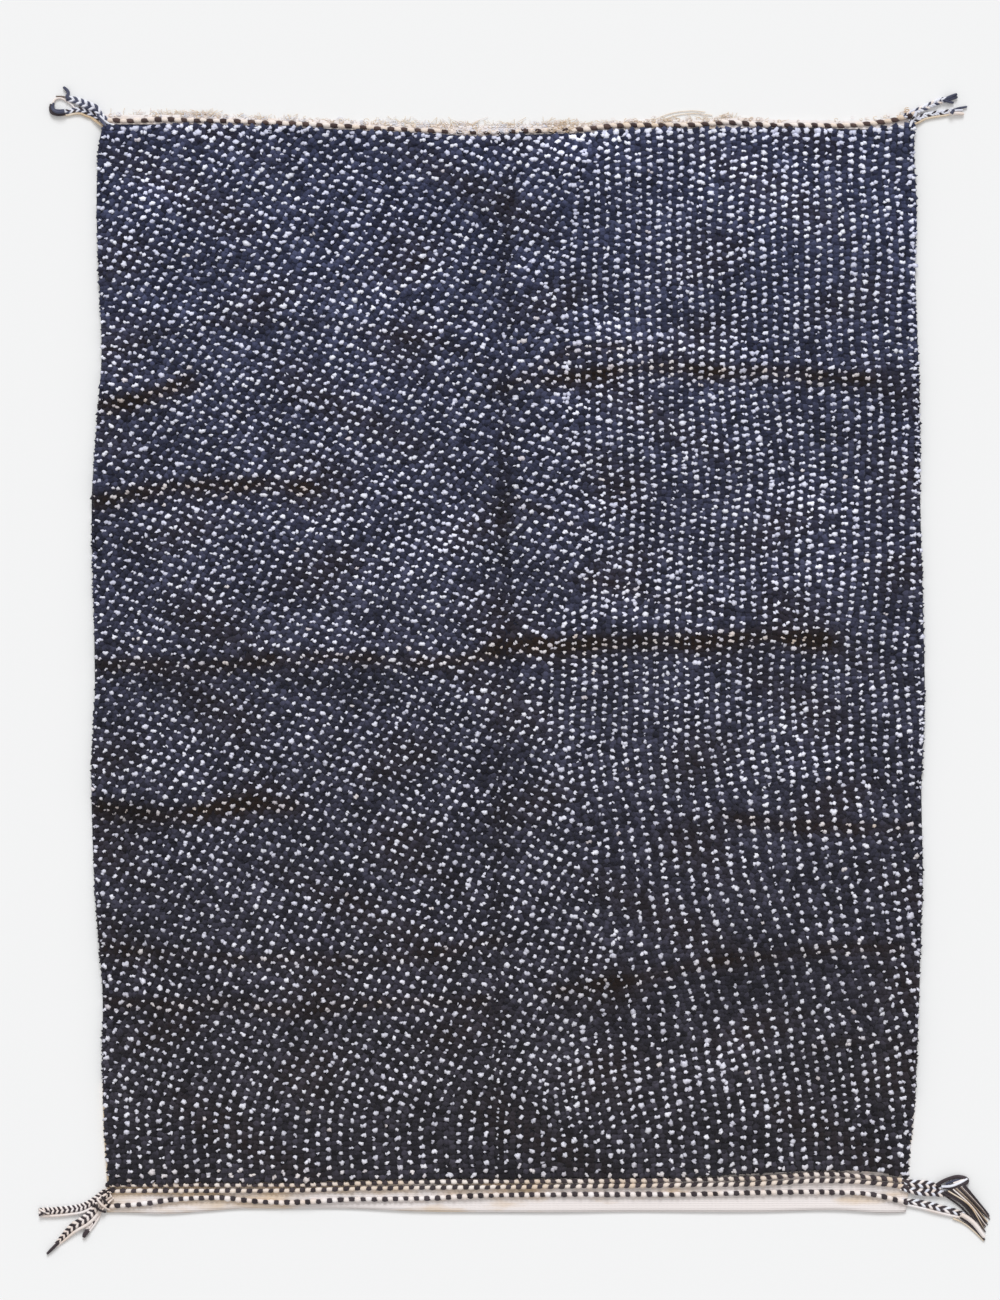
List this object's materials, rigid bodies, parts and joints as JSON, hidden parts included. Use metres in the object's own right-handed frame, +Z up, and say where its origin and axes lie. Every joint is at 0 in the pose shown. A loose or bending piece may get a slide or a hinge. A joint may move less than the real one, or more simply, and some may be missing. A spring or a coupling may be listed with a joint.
{
  "type": "moroccan rug",
  "caption": "Rectangular hand-knotted wool floor rug with a dense speckled pile, flat-woven ends, twined end cords and plaited corners.",
  "frame": {"origin": "middle of the rug's flat underside, on the surface it lies on", "axes": "+Y along the rug's length, towards the end with one twined cord; +X across it; +Z up out of the pile"},
  "size_m": [1.7406, 2.137, 0.024],
  "materials": {
    "pile_wool": "matte cut wool pile, navy black with small off-white dots; its flat-woven ends are cream",
    "cord_wool": "matte wool cord of one black and one cream yarn",
    "plait_wool": "matte plaited wool yarn, black and cream"
  },
  "bodies": {
    "root": {"cloth": "pile_wool", "cord_top": "cord_wool", "cord_bottom_inner": "cord_wool", "cord_bottom_middle": "cord_wool", "cord_bottom_outer": "cord_wool", "plaits_top_left": "plait_wool", "plaits_top_right": "plait_wool", "plaits_bottom_left": "plait_wool", "plaits_bottom_right": "plait_wool"}
  },
  "joints": []
}
